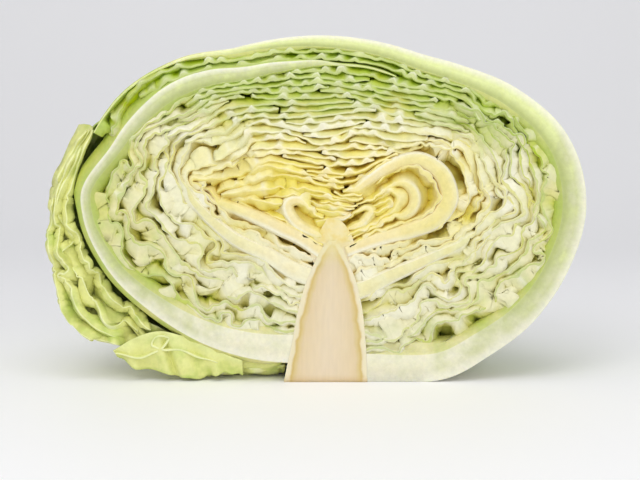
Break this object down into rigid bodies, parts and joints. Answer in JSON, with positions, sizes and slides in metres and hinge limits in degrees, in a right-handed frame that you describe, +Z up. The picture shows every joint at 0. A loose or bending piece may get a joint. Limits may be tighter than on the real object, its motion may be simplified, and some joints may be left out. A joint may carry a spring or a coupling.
{
  "type": "half savoy cabbage",
  "caption": "Half a savoy cabbage, cut lengthwise through its stem and standing on the stem's cut foot.",
  "frame": {"origin": "middle of the flat cut foot of the stem, on the surface that the half stands on", "axes": "+X along the cut face towards its right-hand end, +Y from the cut face back into the head, +Z up the stem"},
  "size_m": [0.2377, 0.1192, 0.1568],
  "materials": {
    "stem_flesh": "moist cut stem flesh, satin",
    "heart_leaf": "crinkled yellow leaf, satin",
    "inner_leaf": "crinkled cream leaf, satin",
    "outer_leaf": "thick pale green leaf, waxy",
    "green_leaf": "veined green leaf, waxy"
  },
  "bodies": {
    "root": {"frilled_leaf_foot": "green_leaf", "frilled_leaf_left": "green_leaf", "heart_leaf_left_1": "heart_leaf", "heart_leaf_left_2": "heart_leaf", "heart_leaf_left_3": "heart_leaf", "heart_leaf_right_1": "heart_leaf", "heart_leaf_right_2": "heart_leaf", "heart_leaf_right_3": "heart_leaf", "heart_leaf_right_4": "heart_leaf", "leaf_across_1": "inner_leaf", "leaf_across_2": "inner_leaf", "leaf_across_3": "inner_leaf", "leaf_across_4": "inner_leaf", "leaf_across_5": "inner_leaf", "leaf_across_6": "inner_leaf", "leaf_across_7": "inner_leaf", "leaf_left_1": "inner_leaf", "leaf_left_2": "inner_leaf", "leaf_left_3": "inner_leaf", "leaf_left_4": "inner_leaf", "leaf_left_5": "inner_leaf", "leaf_left_6": "inner_leaf", "leaf_left_7": "inner_leaf", "leaf_left_8": "inner_leaf", "leaf_left_9": "inner_leaf", "leaf_right_1": "inner_leaf", "leaf_right_10": "inner_leaf", "leaf_right_2": "inner_leaf", "leaf_right_3": "inner_leaf", "leaf_right_4": "inner_leaf", "leaf_right_5": "inner_leaf", "leaf_right_6": "inner_leaf", "leaf_right_7": "inner_leaf", "leaf_right_8": "inner_leaf", "leaf_right_9": "inner_leaf", "outer_leaf_left": "outer_leaf", "outer_leaf_right": "outer_leaf", "stem": "stem_flesh", "wrapper_leaf_back": "green_leaf", "wrapper_leaf_back_left": "green_leaf", "wrapper_leaf_back_right": "green_leaf"}
  },
  "joints": []
}
